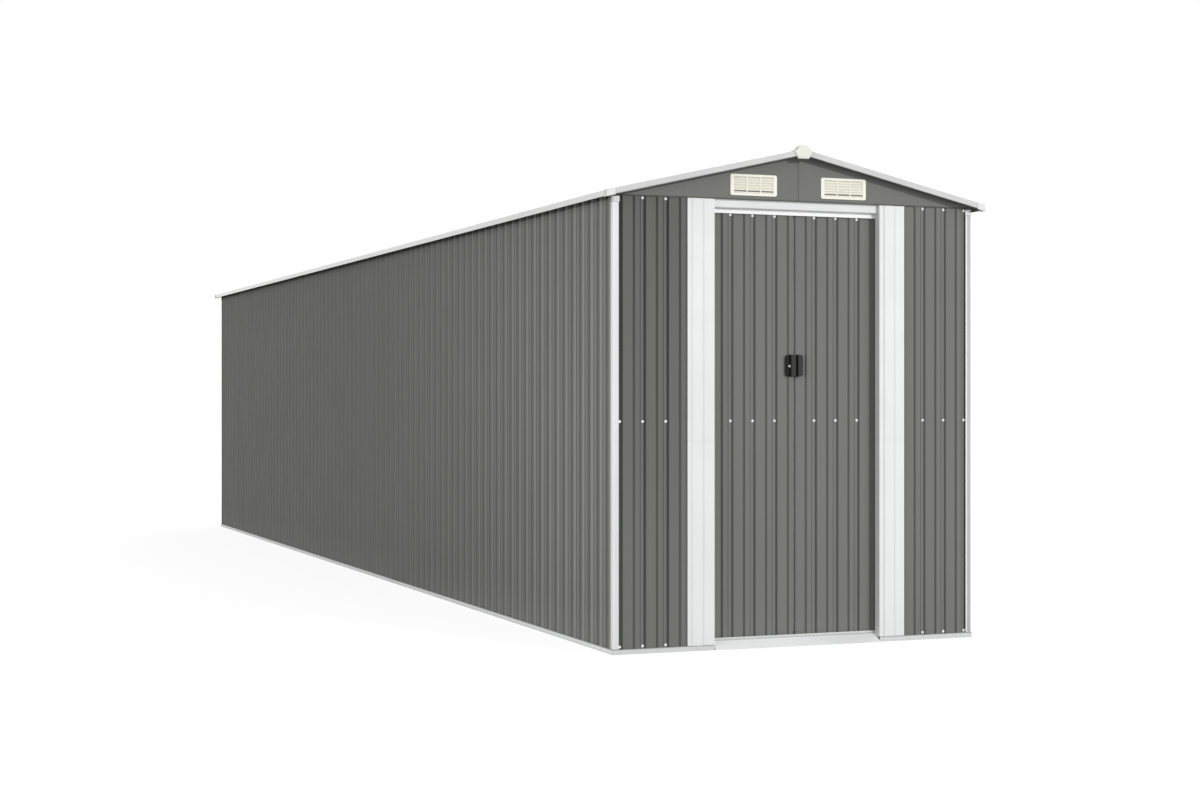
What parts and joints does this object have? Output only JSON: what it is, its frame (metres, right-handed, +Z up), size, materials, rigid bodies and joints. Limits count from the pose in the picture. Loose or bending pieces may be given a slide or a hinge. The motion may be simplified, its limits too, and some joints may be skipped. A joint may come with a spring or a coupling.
{
  "type": "metal storage shed",
  "caption": "Long gabled garden shed of grey ribbed steel sheet with pale trims, gable vents and a pair of sliding doors in its front end.",
  "frame": {"origin": "on the ground under the middle of the roof", "axes": "+Z up, the door end faces -Y, +X to the right as seen from the door end"},
  "size_m": [1.902, 9.3946, 2.2583],
  "materials": {
    "grey_paint": "satin",
    "white_paint": "satin",
    "galvanised_steel": "dull",
    "cream_plastic": "matte",
    "white_plastic": "matte",
    "black_plastic": "matte"
  },
  "bodies": {
    "shed": {"left_base_rail": "galvanised_steel", "right_base_rail": "galvanised_steel", "front_base_rails": "galvanised_steel", "back_base_rail": "galvanised_steel", "corner_posts": "white_paint", "post_caps": "white_plastic", "left_wall_panels": "grey_paint", "right_wall_panels": "grey_paint", "back_wall_panels": "grey_paint", "front_left_panel": "grey_paint", "front_right_panel": "grey_paint", "front_gable_panels": "grey_paint", "back_gable_panels": "grey_paint", "gable_vents": "cream_plastic", "left_jamb": "white_paint", "right_jamb": "white_paint", "door_header": "white_paint", "door_track": "white_paint", "door_sill": "white_paint", "door_guide": "white_paint", "wall_mid_rails": "galvanised_steel", "wall_top_rails": "galvanised_steel", "front_lintel": "galvanised_steel", "back_lintel": "galvanised_steel", "left_roof_panels": "grey_paint", "right_roof_panels": "grey_paint", "gable_rafters": "galvanised_steel", "ridge_beam": "galvanised_steel", "purlins": "galvanised_steel", "verge_trims": "white_paint", "left_eave_trim": "white_paint", "right_eave_trim": "white_paint", "ridge_cap": "white_paint", "ridge_end_caps": "cream_plastic", "roof_corner_caps": "white_plastic"},
    "left_door": {"left_door_panel": "grey_paint", "left_door_frame": "galvanised_steel", "left_door_hanger": "galvanised_steel", "left_door_gliders": "white_plastic", "left_door_handle": "black_plastic"},
    "right_door": {"right_door_panel": "grey_paint", "right_door_frame": "galvanised_steel", "right_door_hanger": "galvanised_steel", "right_door_gliders": "white_plastic", "right_door_handle": "black_plastic"}
  },
  "joints": [
    {"name": "left_door_slide", "type": "slide", "parent": "shed", "child": "left_door", "axis": [-1, 0, 0], "range_m": [0, 0.36]},
    {"name": "right_door_slide", "type": "slide", "parent": "shed", "child": "right_door", "axis": [1, 0, 0], "range_m": [0, 0.36]}
  ]
}
